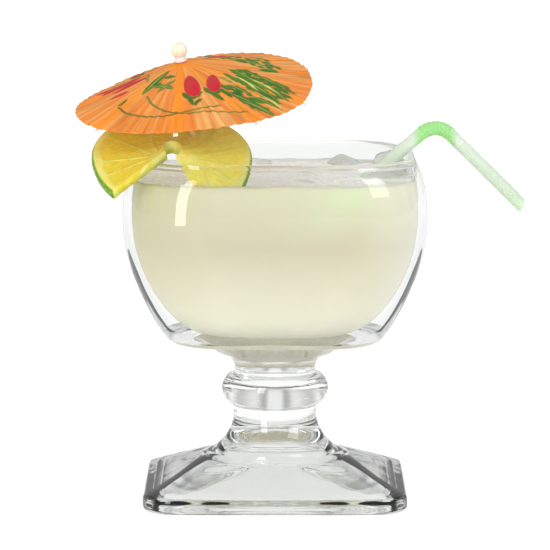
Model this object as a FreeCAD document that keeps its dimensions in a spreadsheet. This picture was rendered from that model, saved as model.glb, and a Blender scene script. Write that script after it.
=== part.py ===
import FreeCAD, Part
import math, os
import Sketcher

# A square-bowled footed glass of cloudy lemonade, with a bendy straw, a slit lime slice on its rim and a paper parasol on a stick.
# Millimetres. Origin: centre of the foot on the table. +Z is up, -Y is the side the slice and the parasol lean towards.

V = FreeCAD.Vector
doc = FreeCAD.newDocument("lemonade_glass")

# ---------------------------------------------------------------- sizes
sheet = doc.addObject("Spreadsheet::Sheet", "Sizes")
row = 0


def size(alias, value):
    """One named size, in millimetres or degrees, in the sheet."""
    global row
    row += 1
    sheet.set("A%d" % row, alias)
    sheet.set("B%d" % row, repr(float(value)))
    sheet.setAlias("B%d" % row, alias)
    VALUES[alias] = float(value)


VALUES = {}
LETTERS = "abcdefghijklmnopq"

# The square sections of the glass, bottom to top: height, half the width, corner radius.
BOWL = [
    (66.8, 39.8, 22.0), (67.2, 41.9, 23.0), (68.4, 43.9, 24.2), (71.2, 46.3, 26.0), (78.2, 50.7, 28.5), (88.9, 55.9, 31.0),
    (99.4, 59.8, 32.0), (109.5, 62.2, 33.0), (119.0, 63.1, 33.0), (129.0, 62.7, 33.0), (137.5, 61.0, 33.0), (145.0, 57.6, 33.0),
]
CAVITY = [
    (69.8, 22.0, 14.0), (70.4, 28.0, 17.5), (72.0, 33.4, 20.5), (76.0, 39.6, 23.5), (82.2, 45.4, 26.5), (90.6, 50.8, 29.0),
    (101.0, 55.3, 30.0), (111.0, 57.8, 30.5), (121.0, 58.7, 30.5), (130.0, 58.5, 30.3), (138.0, 57.1, 30.0), (145.0, 54.2, 29.8), (147.0, 53.2, 29.6),
]
FOOT_EDGE = [
    (0.0, 52.6, 12.5), (0.5, 53.8, 13.3), (1.4, 54.6, 13.8), (3.0, 54.9, 14.0), (5.4, 54.8, 14.0), (6.6, 54.3, 13.7), (7.3, 53.4, 13.2), (7.6, 52.4, 12.8),
]
FOOT_TOP = [
    (7.6, 52.4, 12.8), (9.6, 47.8, 12.8), (12.0, 42.5, 14.0), (14.5, 37.4, 18.0), (16.8, 32.2, 22.0), (18.8, 26.5, 21.5),
]
HOLLOW = [
    (0.0, 47.4, 10.0), (2.5, 46.4, 10.5), (4.6, 43.0, 12.0), (7.0, 37.5, 14.0), (9.6, 32.0, 16.5), (12.4, 26.0, 18.0),
]
for name, table in (("bowl", BOWL), ("cavity", CAVITY), ("foot_edge", FOOT_EDGE), ("foot_top", FOOT_TOP), ("hollow", HOLLOW)):
    for letter, (z, half, corner) in zip(LETTERS, table):
        size("%s_level_%s" % (name, letter), z)
        size("%s_half_%s" % (name, letter), half)
        size("%s_corner_%s" % (name, letter), corner)

size("rim_round", 1.45)
size("liquid_level", 135.7)

size("stem_top", 68.4)
size("stem_collar_radius", 34.0)
size("stem_collar_level", 66.8)
size("stem_collar_cove", 7.2)
size("stem_neck_radius", 17.0)
size("stem_neck_level", 52.9)
size("stem_cove", 1.0)
size("stem_ring_root", 18.8)
size("stem_ring_curve", 7.76)
size("stem_ring_low", 38.8)
size("stem_lower_radius", 17.4)
size("stem_flare_cove", 19.0)
size("stem_flare_level", 36.0)
size("stem_flare_foot", 17.8)
size("stem_root", 13.0)
size("dome_top", 28.0)
size("dome_radius", 26.8)
size("dome_low", 9.0)

size("straw_radius", 2.8)
size("straw_wall", 0.3)
size("straw_long", 108.0)
size("straw_arm", 45.6)
size("straw_bend_radius", 9.6)
size("straw_ridge", 0.34)
size("straw_turn", 16.7)
size("straw_rise", 37.8)
size("straw_fall", 44.0)

size("lime_radius", 33.0)
size("lime_thick", 5.6)
size("lime_core", 3.0)

size("paper_radius", 49.0)
size("paper_drop", 13.9)
size("paper_thick", 0.4)
size("paper_pleat", 0.55)
size("paper_skew", 2.9)
size("paper_droop_left", 3.0)
size("paper_droop_right", 4.5)
size("paper_hole", 1.02)
size("stick_radius", 1.0)
size("stick_top", 5.2)
size("stick_length", 103.0)
size("stick_tip", 5.0)
size("bead_radius", 3.35)
size("bead_low", 2.3)
size("bead_high", 8.0)
size("collar_radius", 2.45)
size("collar_low", 0.12)
size("rib_wide", 1.9)
size("rib_thick", 0.6)
size("rib_over", 1.2)
size("runner_radius", 2.7)
size("runner_top", -17.0)
size("runner_low", -25.0)
size("strut_wide", 1.1)
size("strut_thick", 0.5)
doc.recompute()


def g(alias):
    return VALUES[alias]


def bind(obj, prop, alias):
    obj.setExpression(prop, "Sizes." + alias)


# ---------------------------------------------------------------- helpers
def plane_of(body, role):
    for o in body.Origin.OriginFeatures:
        if o.Role == role:
            return o


def square_sketch(body, name, level, half, corner):
    """A square with rounded corners, level with the table at a named height."""
    sk = body.newObject("Sketcher::SketchObject", name)
    sk.AttachmentSupport = [(plane_of(body, "XY_Plane"), "")]
    sk.MapMode = "FlatFace"
    w, r = g(half), g(corner)
    c = w - r
    lines = [((-c, w), (c, w)), ((w, c), (w, -c)), ((c, -w), (-c, -w)), ((-w, -c), (-w, c))]
    for a, b in lines:
        sk.addGeometry(Part.LineSegment(V(a[0], a[1], 0), V(b[0], b[1], 0)), False)
    for cx, cy, a0 in ((c, c, 0), (c, -c, -90), (-c, -c, 180), (-c, c, 90)):
        circle = Part.Circle(V(cx, cy, 0), V(0, 0, 1), r)
        sk.addGeometry(Part.ArcOfCircle(circle, math.radians(a0), math.radians(a0 + 90)), False)
    # lines 0..3 run clockwise from the far side; arcs 4..7 sit at the corners after each line
    T = Sketcher.Constraint
    sk.addConstraint(T("Tangent", 0, 2, 4, 2))
    sk.addConstraint(T("Tangent", 4, 1, 1, 1))
    sk.addConstraint(T("Tangent", 1, 2, 5, 2))
    sk.addConstraint(T("Tangent", 5, 1, 2, 1))
    sk.addConstraint(T("Tangent", 2, 2, 6, 2))
    sk.addConstraint(T("Tangent", 6, 1, 3, 1))
    sk.addConstraint(T("Tangent", 3, 2, 7, 2))
    sk.addConstraint(T("Tangent", 7, 1, 0, 1))
    sk.addConstraint(T("Symmetric", 0, 1, 0, 2, -2))
    sk.addConstraint(T("Symmetric", 1, 1, 1, 2, -1))
    sk.addConstraint(T("Horizontal", 2))
    sk.addConstraint(T("Vertical", 3))
    for k in (5, 6, 7):
        sk.addConstraint(T("Equal", 4, k))
    i = sk.addConstraint(T("Radius", 4, r))
    sk.setExpression("Constraints[%d]" % i, "Sizes." + corner)
    j = sk.addConstraint(T("DistanceX", -1, 1, 1, 1, w))
    sk.setExpression("Constraints[%d]" % j, "Sizes." + half)
    j = sk.addConstraint(T("DistanceY", -1, 1, 0, 1, w))
    sk.setExpression("Constraints[%d]" % j, "Sizes." + half)
    sk.AttachmentOffset = FreeCAD.Placement(V(0, 0, g(level)), FreeCAD.Rotation())
    sk.setExpression("AttachmentOffset.Base.z", "Sizes." + level)
    return sk


def square_loft(body, kind, name, table, ruled=False):
    """Loft through the named square sections of one table."""
    sketches = [
        square_sketch(body, "%s_section_%s" % (name, l), "%s_level_%s" % (name, l), "%s_half_%s" % (name, l), "%s_corner_%s" % (name, l))
        for l, _ in zip(LETTERS, table)
    ]
    loft = body.newObject(kind, name + "_loft")
    loft.Profile = (sketches[0], [""])
    loft.Sections = [(s, [""]) for s in sketches[1:]]
    loft.Ruled = ruled
    loft.Closed = False
    body.Tip = loft
    return loft


def xz_sketch(body, name):
    sk = body.newObject("Sketcher::SketchObject", name)
    sk.AttachmentSupport = [(plane_of(body, "XZ_Plane"), "")]
    sk.MapMode = "FlatFace"
    return sk


def closed_profile(sk, pieces):
    """pieces: ('line', p, q) or ('arc', centre, p, q, clockwise) in order round a closed outline."""
    for piece in pieces:
        if piece[0] == "line":
            _, p, q = piece
            sk.addGeometry(Part.LineSegment(V(p[0], p[1], 0), V(q[0], q[1], 0)), False)
        else:
            _, c, p, q, cw = piece
            r = math.hypot(p[0] - c[0], p[1] - c[1])
            a = math.atan2(p[1] - c[1], p[0] - c[0])
            b = math.atan2(q[1] - c[1], q[0] - c[0])
            if cw:
                a, b = b, a
            sk.addGeometry(Part.ArcOfCircle(Part.Circle(V(c[0], c[1], 0), V(0, 0, 1), r), a, b), False)
    n = len(pieces)
    for i in range(n):
        j = (i + 1) % n
        end = 1 if pieces[i][0] == "arc" and pieces[i][4] else 2
        start = 2 if pieces[j][0] == "arc" and pieces[j][4] else 1
        sk.addConstraint(Sketcher.Constraint("Coincident", i, end, j, start))


def revolve(body, sk, name):
    rev = body.newObject("PartDesign::Revolution", name)
    rev.Profile = (sk, [""])
    rev.ReferenceAxis = (sk, ["V_Axis"])
    rev.Angle = 360.0
    body.Tip = rev
    return rev


# ---------------------------------------------------------------- glass
glass_body = doc.addObject("PartDesign::Body", "glass_body")
square_loft(glass_body, "PartDesign::AdditiveLoft", "bowl", BOWL)

sk = xz_sketch(glass_body, "stem_profile")
cove, curve = g("stem_collar_cove"), g("stem_ring_curve")
neck, small = g("stem_neck_radius"), g("stem_cove")
low, flare = g("stem_lower_radius"), g("stem_flare_cove")
rx = g("stem_ring_root")
ring_top = g("stem_neck_level") - small
ring_bottom = g("stem_ring_low")
ring_mid = (ring_top + ring_bottom) / 2
ring_cx = rx - math.sqrt(curve ** 2 - (ring_top - ring_mid) ** 2)
fx, fz = low + flare, g("stem_flare_level")
fe = (fx - math.sqrt(flare ** 2 - (fz - g("stem_flare_foot")) ** 2), g("stem_flare_foot"))
cz = g("stem_neck_level") + 0.5 + cove
pieces = [
    ("line", (0, g("stem_root")), (0, g("stem_top"))),
    ("line", (0, g("stem_top")), (g("stem_collar_radius"), g("stem_top"))),
    ("line", (g("stem_collar_radius"), g("stem_top")), (g("stem_collar_radius"), g("stem_collar_level"))),
    ("line", (g("stem_collar_radius"), g("stem_collar_level")), (neck + cove, cz)),
    ("arc", (neck + cove, cz - cove), (neck + cove, cz), (neck, cz - cove), False),
    ("line", (neck, cz - cove), (neck, g("stem_neck_level"))),
    ("arc", (neck + small, g("stem_neck_level")), (neck, g("stem_neck_level")), (neck + small, g("stem_neck_level") - small), False),
    ("line", (neck + small, ring_top), (rx, ring_top)),
    ("arc", (ring_cx, ring_mid), (rx, ring_top), (rx, ring_bottom), True),
    ("line", (rx, ring_bottom), (low + small, ring_bottom)),
    ("arc", (low + small, ring_bottom - small), (low + small, ring_bottom), (low, ring_bottom - small), False),
    ("line", (low, ring_bottom - small), (low, fz)),
    ("arc", (fx, fz), (low, fz), fe, False),
    ("line", fe, (fe[0], g("stem_root"))),
    ("line", (fe[0], g("stem_root")), (0, g("stem_root"))),
]
closed_profile(sk, pieces)
C = Sketcher.Constraint
for kind, geo, alias in (("Radius", 4, "stem_collar_cove"), ("Radius", 8, "stem_ring_curve"), ("Radius", 12, "stem_flare_cove")):
    i = sk.addConstraint(C(kind, geo, g(alias)))
    sk.setExpression("Constraints[%d]" % i, "Sizes." + alias)
for geo, point, alias in ((5, 2, "stem_neck_radius"), (9, 1, "stem_ring_root"), (11, 2, "stem_lower_radius"), (2, 1, "stem_collar_radius")):
    i = sk.addConstraint(C("DistanceX", -1, 1, geo, point, g(alias)))
    sk.setExpression("Constraints[%d]" % i, "Sizes." + alias)
for geo, point, alias in ((0, 1, "stem_root"), (0, 2, "stem_top"), (5, 2, "stem_neck_level"), (9, 1, "stem_ring_low"), (11, 2, "stem_flare_level")):
    i = sk.addConstraint(C("DistanceY", -1, 1, geo, point, g(alias)))
    sk.setExpression("Constraints[%d]" % i, "Sizes." + alias)
revolve(glass_body, sk, "stem")
square_loft(glass_body, "PartDesign::AdditiveLoft", "foot_top", FOOT_TOP)
square_loft(glass_body, "PartDesign::AdditiveLoft", "foot_edge", FOOT_EDGE, True)
square_loft(glass_body, "PartDesign::SubtractiveLoft", "hollow", HOLLOW)
# the round dome at the top of the hollow, up inside the stem
dome = xz_sketch(glass_body, "dome_profile")
dc = g("dome_top") - g("dome_radius")
dx = math.sqrt(g("dome_radius") ** 2 - (g("dome_low") - dc) ** 2)
closed_profile(dome, [
    ("line", (0, g("dome_low")), (0, g("dome_top"))),
    ("arc", (0, dc), (0, g("dome_top")), (dx, g("dome_low")), True),
    ("line", (dx, g("dome_low")), (0, g("dome_low"))),
])
i = dome.addConstraint(C("Radius", 1, g("dome_radius")))
dome.setExpression("Constraints[%d]" % i, "Sizes.dome_radius")
i = dome.addConstraint(C("DistanceY", -1, 1, 0, 2, g("dome_top")))
dome.setExpression("Constraints[%d]" % i, "Sizes.dome_top")
groove = glass_body.newObject("PartDesign::Groove", "dome")
groove.Profile = (dome, [""])
groove.ReferenceAxis = (dome, ["V_Axis"])
groove.Angle = 360.0
glass_body.Tip = groove

cavity_body = doc.addObject("PartDesign::Body", "cavity_body")
square_loft(cavity_body, "PartDesign::AdditiveLoft", "cavity", CAVITY)
doc.recompute()

glass_cut = doc.addObject("Part::Cut", "glass_cut")
glass_cut.Base = glass_body
glass_cut.Tool = cavity_body
doc.recompute()

# the two rim edges, fire-polished round
rim_edges = []
for i, e in enumerate(glass_cut.Shape.Edges, 1):
    box = e.BoundBox
    if abs(box.ZMin - 145.0) < 0.02 and abs(box.ZMax - 145.0) < 0.02:
        rim_edges.append(i)
glass = doc.addObject("Part::Fillet", "glass")
glass.Base = glass_cut
glass.Edges = [(i, g("rim_round"), g("rim_round")) for i in rim_edges]
glass.Label = "glass"
doc.recompute()

# ---------------------------------------------------------------- straw
# Built in its own upright plane: X runs the way the straw leans, the bend starts at the origin.
rise, fall = math.radians(g("straw_rise")), math.radians(g("straw_fall"))
up = V(math.cos(rise), 0, math.sin(rise))
down = V(math.cos(fall), 0, -math.sin(fall))
turn = rise + fall
rho = g("straw_bend_radius")
centre = V(math.sin(rise), 0, -math.cos(rise)) * rho
RIDGES = 8
straw_spin = FreeCAD.Rotation(V(0, 0, 1), g("straw_turn"))
rim_point = V(55.95, -8.0, 149.2)
straw_over = 7.0
straw_base = rim_point + straw_spin.multVec(up * straw_over)
straw_place = FreeCAD.Placement(straw_base, straw_spin)


def tube_bit(name, start, along, radius_expr, radius, length_expr, length):
    c = doc.addObject("Part::Cylinder", name)
    c.setExpression("Radius", radius_expr)
    c.setExpression("Height", length_expr)
    c.Radius, c.Height = radius, length
    c.Placement = straw_place.multiply(FreeCAD.Placement(start, FreeCAD.Rotation(V(0, 0, 1), along)))
    return c


def bend_loft(name, inset_expr, inset):
    """The bellows: rings round the bend, narrow and wide in turn."""
    rings = []
    steps = 2 * RIDGES
    for k in range(steps + 1):
        a = turn * k / steps
        radial = V(-math.sin(rise - a), 0, math.cos(rise - a))
        along = V(math.cos(rise - a), 0, math.sin(rise - a))
        c = doc.addObject("Part::Circle", "%s_ring_%s" % (name, LETTERS[k]))
        wide = k % 2 == 1
        c.setExpression("Radius", "Sizes.straw_radius%s%s" % (" + Sizes.straw_ridge" if wide else "", inset_expr))
        c.Placement = straw_place.multiply(FreeCAD.Placement(centre + radial * rho, FreeCAD.Rotation(V(0, 0, 1), along)))
        rings.append(c)
    loft = doc.addObject("Part::Loft", name)
    loft.Sections = rings
    loft.Solid = True
    loft.Ruled = True
    return loft


bend_end = centre + V(-math.sin(-fall), 0, math.cos(-fall)) * rho
R0, W0 = g("straw_radius"), g("straw_wall")
outer = [
    tube_bit("straw_outer_long", up * -g("straw_long"), up, "Sizes.straw_radius", R0, "Sizes.straw_long", g("straw_long")),
    bend_loft("straw_outer_bend", "", 0.0),
    tube_bit("straw_outer_arm", bend_end, down, "Sizes.straw_radius", R0, "Sizes.straw_arm", g("straw_arm")),
]
inner = [
    tube_bit("straw_inner_long", up * -(g("straw_long") + 1), up, "Sizes.straw_radius - Sizes.straw_wall", R0 - W0, "Sizes.straw_long + 1", g("straw_long") + 1),
    bend_loft("straw_inner_bend", " - Sizes.straw_wall", W0),
    tube_bit("straw_inner_arm", bend_end, down, "Sizes.straw_radius - Sizes.straw_wall", R0 - W0, "Sizes.straw_arm + 1", g("straw_arm") + 1),
]
straw_outer = doc.addObject("Part::MultiFuse", "straw_outer")
straw_outer.Shapes = outer
straw_inner = doc.addObject("Part::MultiFuse", "straw_inner")
straw_inner.Shapes = inner
# the mouth is cut at a slant
mouth = doc.addObject("Part::Box", "straw_mouth")
mouth.Length, mouth.Width, mouth.Height = 12, 12, 12
slant = FreeCAD.Rotation(V(0, 0, 1), down).multiply(FreeCAD.Rotation(V(0, 1, 0), -22))
corner = bend_end + down * g("straw_arm") - slant.multVec(V(6, 6, 0)) - down * 1.2
mouth.Placement = straw_place.multiply(FreeCAD.Placement(corner, slant))
straw_tools = doc.addObject("Part::MultiFuse", "straw_tools")
straw_tools.Shapes = [straw_inner, mouth]
straw = doc.addObject("Part::Cut", "straw")
straw.Base = straw_outer
straw.Tool = straw_tools
straw.Label = "straw"
doc.recompute()

# ---------------------------------------------------------------- parasol
# Its own frame: apex of the paper at the origin, +Z up the stick.
lean = V(-0.147, -0.222, 0.9639)
lean.normalize()
apex = V(-38.4, -45.0, 186.7)
parasol_place = FreeCAD.Placement(apex, FreeCAD.Rotation(V(0, 0, 1), lean))

PLEATS = 64


def spoke(phi):
    """Where the paper's edge lies at this angle, before pleating. It hangs lower at the back left and the front right."""
    low = 0.0
    for middle, spread, drop in ((138.0, 34.0, g("paper_droop_left")), (-30.0, 40.0, g("paper_droop_right"))):
        off = (math.degrees(phi) - middle + 180.0) % 360.0 - 180.0
        low += drop * math.exp(-(off / spread) ** 2)
    return V(g("paper_radius") * math.cos(phi) + g("paper_skew"), g("paper_radius") * math.sin(phi), -g("paper_drop") - low)


def pleated_cone():
    """A thin cone, folded up and down into narrow pleats, with a hole for the stick."""
    hole = g("paper_hole")
    half = g("paper_thick") / 2
    up_in, up_out, lo_in, lo_out = [], [], [], []
    for k in range(2 * PLEATS):
        phi = math.pi * k / PLEATS
        e = spoke(phi)
        s = hole / math.hypot(e.x, e.y)
        wave = g("paper_pleat") * (1 if k % 2 else -1) / 2
        a = V(e.x * s, e.y * s, e.z * s)
        b = V(e.x, e.y, e.z + wave)
        up_in.append(a + V(0, 0, half))
        up_out.append(b + V(0, 0, half))
        lo_in.append(a - V(0, 0, half))
        lo_out.append(b - V(0, 0, half))
    faces = []

    def tri(*p):
        faces.append(Part.Face(Part.makePolygon(list(p) + [p[0]])))

    n = 2 * PLEATS
    for k in range(n):
        m = (k + 1) % n
        tri(up_in[k], up_out[k], up_out[m])
        tri(up_in[k], up_out[m], up_in[m])
        tri(lo_in[k], lo_out[m], lo_out[k])
        tri(lo_in[k], lo_in[m], lo_out[m])
        tri(up_out[k], lo_out[k], lo_out[m])
        tri(up_out[k], lo_out[m], up_out[m])
        tri(up_in[k], lo_in[m], lo_in[k])
        tri(up_in[k], up_in[m], lo_in[m])
    return Part.makeSolid(Part.makeShell(faces))


canopy = doc.addObject("Part::Feature", "parasol_paper")
solid = pleated_cone()
if solid.Volume < 0:
    solid.reverse()
canopy.Shape = solid
canopy.Placement = parasol_place
canopy.Label = "parasol_paper"


def turned(name, outline):
    """A turned or rolled piece: its half outline spun about the stick's line."""
    body = doc.addObject("PartDesign::Body", name + "_body")
    s = xz_sketch(body, name + "_outline")
    closed_profile(s, outline)
    revolve(body, s, name + "_turned")
    body.Label = name
    body.Placement = parasol_place
    return body, s


def pin_x(s, geo, point, alias):
    i = s.addConstraint(C("DistanceX", -1, 1, geo, point, g(alias)))
    s.setExpression("Constraints[%d]" % i, "Sizes." + alias)


def pin_y(s, geo, point, alias, sign=1):
    i = s.addConstraint(C("DistanceY", -1, 1, geo, point, g(alias)) if sign > 0 else C("DistanceY", geo, point, -1, 1, -g(alias)))
    s.setExpression("Constraints[%d]" % i, ("" if sign > 0 else "-") + "Sizes." + alias)


sr, top = g("stick_radius"), g("stick_top")
bottom = top - g("stick_length")
stick, s = turned("stick", [
    ("line", (0, bottom), (0, top)),
    ("line", (0, top), (sr, top)),
    ("line", (sr, top), (sr, bottom + g("stick_tip"))),
    ("line", (sr, bottom + g("stick_tip")), (0.25, bottom)),
    ("line", (0.25, bottom), (0, bottom)),
])
pin_x(s, 2, 1, "stick_radius")
pin_y(s, 0, 2, "stick_top")

bl, bh, br = g("bead_low"), g("bead_high"), g("bead_radius")
bc = bh - br
bx = math.sqrt(br ** 2 - (bc - bl) ** 2)
bead, s = turned("bead", [
    ("line", (0, top), (0, bh)),
    ("arc", (0, bc), (0, bh), (bx, bl), True),
    ("line", (bx, bl), (sr, bl)),
    ("line", (sr, bl), (sr, top)),
    ("line", (sr, top), (0, top)),
])
i = s.addConstraint(C("Radius", 1, br))
s.setExpression("Constraints[%d]" % i, "Sizes.bead_radius")
pin_x(s, 3, 1, "stick_radius")
pin_y(s, 0, 2, "bead_high")

cl, cr = g("collar_low"), g("collar_radius")
collar, s = turned("collar", [
    ("line", (sr, cl), (sr, bl)),
    ("line", (sr, bl), (cr - 0.5, bl)),
    ("arc", (cr - 0.5, bl - 0.5), (cr - 0.5, bl), (cr, bl - 0.5), True),
    ("line", (cr, bl - 0.5), (cr, cl)),
    ("line", (cr, cl), (sr, cl)),
])
pin_x(s, 3, 1, "collar_radius")
pin_x(s, 0, 1, "stick_radius")

rt, rl, rr = g("runner_top"), g("runner_low"), g("runner_radius")
runner, s = turned("runner", [
    ("line", (sr, rl), (sr, rt)),
    ("line", (sr, rt), (rr, rt)),
    ("line", (rr, rt), (rr, rl)),
    ("line", (rr, rl), (sr, rl)),
])
pin_x(s, 1, 2, "runner_radius")
pin_x(s, 0, 1, "stick_radius")


def bar(name, start, end, wide_alias, thick_alias, drop):
    """A flat bar from start to end, lying with its top face through both points less drop."""
    along = end - start
    length = along.Length
    b = doc.addObject("Part::Box", name)
    b.Length = length
    bind(b, "Width", wide_alias)
    bind(b, "Height", thick_alias)
    b.Width, b.Height = g(wide_alias), g(thick_alias)
    flatway = math.atan2(along.y, along.x)
    slope = math.atan2(-along.z, math.hypot(along.x, along.y))
    rot = FreeCAD.Rotation(V(0, 0, 1), math.degrees(flatway)).multiply(FreeCAD.Rotation(V(0, 1, 0), math.degrees(slope)))
    base = start + rot.multVec(V(0, -g(wide_alias) / 2, -g(thick_alias) - drop))
    b.Placement = parasol_place.multiply(FreeCAD.Placement(base, rot))
    b.Label = name
    return b


RIB_ANGLES = [-27, 31, 78, 127, 172, 218, 262, 300]
bars = []
for k, deg in enumerate(RIB_ANGLES, 1):
    step = 180.0 / PLEATS
    phi = math.radians(round(deg / step / 2 - 0.5) * 2 * step + step)
    e = spoke(phi)
    reach = math.hypot(e.x, e.y)
    e_low = V(e.x, e.y, e.z - g("paper_thick") / 2 - g("paper_pleat") / 2)
    zero = V(0, 0, -g("paper_thick") / 2)
    start = zero + (e_low - zero) * (3.6 / reach)
    end = zero + (e_low - zero) * ((reach + g("rib_over")) / reach)
    rib = bar("rib_%d" % k, start, end, "rib_wide", "rib_thick", 0.04)
    bars.append(rib)
    # a strut from the runner out to the rib, a little past its middle
    mid = zero + (e_low - zero) * 0.52
    foot = V(math.cos(phi) * (rr + 0.05), math.sin(phi) * (rr + 0.05), rl + 4.0)
    tip = V(mid.x, mid.y, mid.z - g("rib_thick") - 0.32)
    bars.append(bar("strut_%d" % k, foot, tip, "strut_wide", "strut_thick", 0.0))
doc.recompute()

# ---------------------------------------------------------------- lime slice
# A round slice slit to its middle and opened over the rim: one lobe hangs outside, the other dips in the drink.
# Each row: angle round the slice from its highest point, and the way from its middle to the rind there.
lime_centre = V(-42.0, -47.0, 150.2)
LIME = [
    (-144, V(-23.7, -14.5, -16.6)), (-120, V(-30.0, -8.5, -12.0)), (-90, V(-33.0, -1.5, -5.2)), (-60, V(-28.0, 14.0, 3.2)),
    (-30, V(-13.5, 26.0, 9.6)), (0, V(0.5, 29.5, 11.2)), (30, V(13.5, 27.0, 8.4)), (60, V(27.5, 16.5, 2.6)),
    (90, V(32.0, 4.5, -5.0)), (118, V(29.0, -2.0, -11.5)), (142, V(24.5, -3.4, -16.5)), (164, V(14.0, -3.0, -23.5)),
]


def lime_frame(k):
    """The way out along the slice and the way through it, at one row."""
    d = V(LIME[k][1])
    before, after = V(LIME[max(k - 1, 0)][1]), V(LIME[min(k + 1, len(LIME) - 1)][1])
    before.normalize()
    after.normalize()
    d.normalize()
    through = (after - before).cross(d)
    through.normalize()
    if through.z < 0:
        through = through * -1
    return d, through


sections = []
for k in range(len(LIME)):
    d, through = lime_frame(k)
    side = through.cross(d)
    p = doc.addObject("Part::Plane", "lime_section_%s" % LETTERS[k])
    p.setExpression("Length", "Sizes.lime_radius - Sizes.lime_core")
    p.setExpression("Width", "Sizes.lime_thick")
    m = FreeCAD.Matrix(d.x, through.x, -side.x, 0, d.y, through.y, -side.y, 0, d.z, through.z, -side.z, 0, 0, 0, 0, 1)
    rot = FreeCAD.Placement(m).Rotation
    p.Placement = FreeCAD.Placement(lime_centre + d * g("lime_core") - through * (g("lime_thick") / 2), rot)
    sections.append(p)
doc.recompute()
lime_loft = doc.addObject("Part::Loft", "lime_loft")
lime_loft.Sections = sections
lime_loft.Solid = True
lime_loft.Ruled = False
doc.recompute()
lime_tools = doc.addObject("Part::MultiFuse", "lime_tools")
stick_hole = doc.addObject("Part::Cylinder", "lime_stick_hole")
bind(stick_hole, "Radius", "stick_radius")
stick_hole.Height = 60
stick_hole.Placement = parasol_place.multiply(FreeCAD.Placement(V(0, 0, -70), FreeCAD.Rotation()))
lime_tools.Shapes = [glass, stick_hole]
lime = doc.addObject("Part::Cut", "lime_slice")
lime.Base = lime_loft
lime.Tool = lime_tools
lime.Label = "lime_slice"
doc.recompute()

# ---------------------------------------------------------------- lemonade
level = doc.addObject("Part::Box", "below_level")
level.Length, level.Width = 160, 160
level.setExpression("Height", "Sizes.liquid_level")
level.Height = g("liquid_level")
level.Placement = FreeCAD.Placement(V(-80, -80, 0), FreeCAD.Rotation())
fill = doc.addObject("Part::MultiCommon", "fill")
fill.Shapes = [cavity_body, level]
fill_tools = doc.addObject("Part::MultiFuse", "fill_tools")
straw_plug = tube_bit("straw_plug", up * -g("straw_long"), up, "Sizes.straw_radius", R0, "Sizes.straw_long", g("straw_long"))
stick_plug = doc.addObject("Part::Cylinder", "stick_plug")
bind(stick_plug, "Radius", "stick_radius")
stick_plug.Height = g("stick_length") + 0.02
stick_plug.Placement = parasol_place.multiply(FreeCAD.Placement(V(0, 0, bottom - 0.02), FreeCAD.Rotation()))
fill_tools.Shapes = [straw_plug, stick_plug, lime_loft]
lemonade = doc.addObject("Part::Cut", "lemonade")
lemonade.Base = fill
lemonade.Tool = fill_tools
lemonade.Label = "lemonade"
doc.recompute()

# ---------------------------------------------------------------- check and write
nodes = [glass, lemonade, straw, lime, canopy, stick, bead, collar, runner] + bars
bad = []
for o in doc.Objects:
    if any(s in ("Invalid", "Error") for s in o.State):
        bad.append((o.Name, o.State))
for o in nodes:
    shape = o.Shape
    if shape.isNull() or not shape.isValid() or len(shape.Solids) != 1:
        bad.append((o.Label, "null" if shape.isNull() else "valid %s solids %d" % (shape.isValid(), len(shape.Solids))))
if bad:
    raise RuntimeError("bad objects: %s" % bad)
os.makedirs("parts", exist_ok=True)
for o in nodes:
    o.Shape.exportStep("parts/%s.step" % o.Label)
    print(o.Label, "%.1f mm3" % o.Shape.Volume, "box", o.Shape.BoundBox)
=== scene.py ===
import math
import random

import bpy
import numpy as np
from mathutils import Matrix, Vector, noise


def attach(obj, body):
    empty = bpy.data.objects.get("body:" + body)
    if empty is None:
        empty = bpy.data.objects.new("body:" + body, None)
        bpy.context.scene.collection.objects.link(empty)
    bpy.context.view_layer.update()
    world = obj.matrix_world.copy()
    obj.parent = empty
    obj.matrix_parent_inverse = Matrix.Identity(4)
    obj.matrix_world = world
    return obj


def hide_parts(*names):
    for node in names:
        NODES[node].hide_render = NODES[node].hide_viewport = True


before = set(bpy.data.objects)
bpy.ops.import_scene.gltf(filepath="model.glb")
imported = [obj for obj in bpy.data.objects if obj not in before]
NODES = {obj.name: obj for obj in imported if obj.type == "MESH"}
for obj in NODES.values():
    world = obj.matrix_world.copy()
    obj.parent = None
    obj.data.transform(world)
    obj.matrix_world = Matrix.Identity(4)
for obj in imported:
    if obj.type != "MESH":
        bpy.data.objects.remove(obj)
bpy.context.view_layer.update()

MM = 0.001
rng = np.random.default_rng(7)
random.seed(7)

# ------------------------------------------------------------------ small helpers


def lin(r, g, b):
    """A screen colour, 0-255, as the linear colour that the shader wants."""
    out = []
    for v in (r, g, b):
        v = v / 255.0
        out.append(v / 12.92 if v <= 0.04045 else ((v + 0.055) / 1.055) ** 2.4)
    return (out[0], out[1], out[2], 1.0)


def smooth(a, b, x):
    t = np.clip((x - a) / (b - a), 0.0, 1.0)
    return t * t * (3 - 2 * t)


def grid_mesh(name, verts, faces, coll=None):
    me = bpy.data.meshes.new(name)
    me.from_pydata([tuple(v) for v in verts], [], [tuple(int(i) for i in f) for f in faces])
    me.validate()
    me.update()
    me.polygons.foreach_set("use_smooth", [True] * len(me.polygons))
    o = bpy.data.objects.new(name, me)
    bpy.context.scene.collection.objects.link(o)
    return o


def rings_to_faces(count, n, start=0):
    """Quads joining `count` closed rings of n points each, in order."""
    out = []
    for k in range(count - 1):
        a = start + k * n
        b = a + n
        for i in range(n):
            j = (i + 1) % n
            out.append((a + i, a + j, b + j, b + i))
    return out


def attribute(o, name, values):
    """One number for every vertex, kept in the mesh."""
    at = o.data.attributes.new(name, "FLOAT", "POINT")
    at.data.foreach_set("value", np.asarray(values, np.float32))


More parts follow.
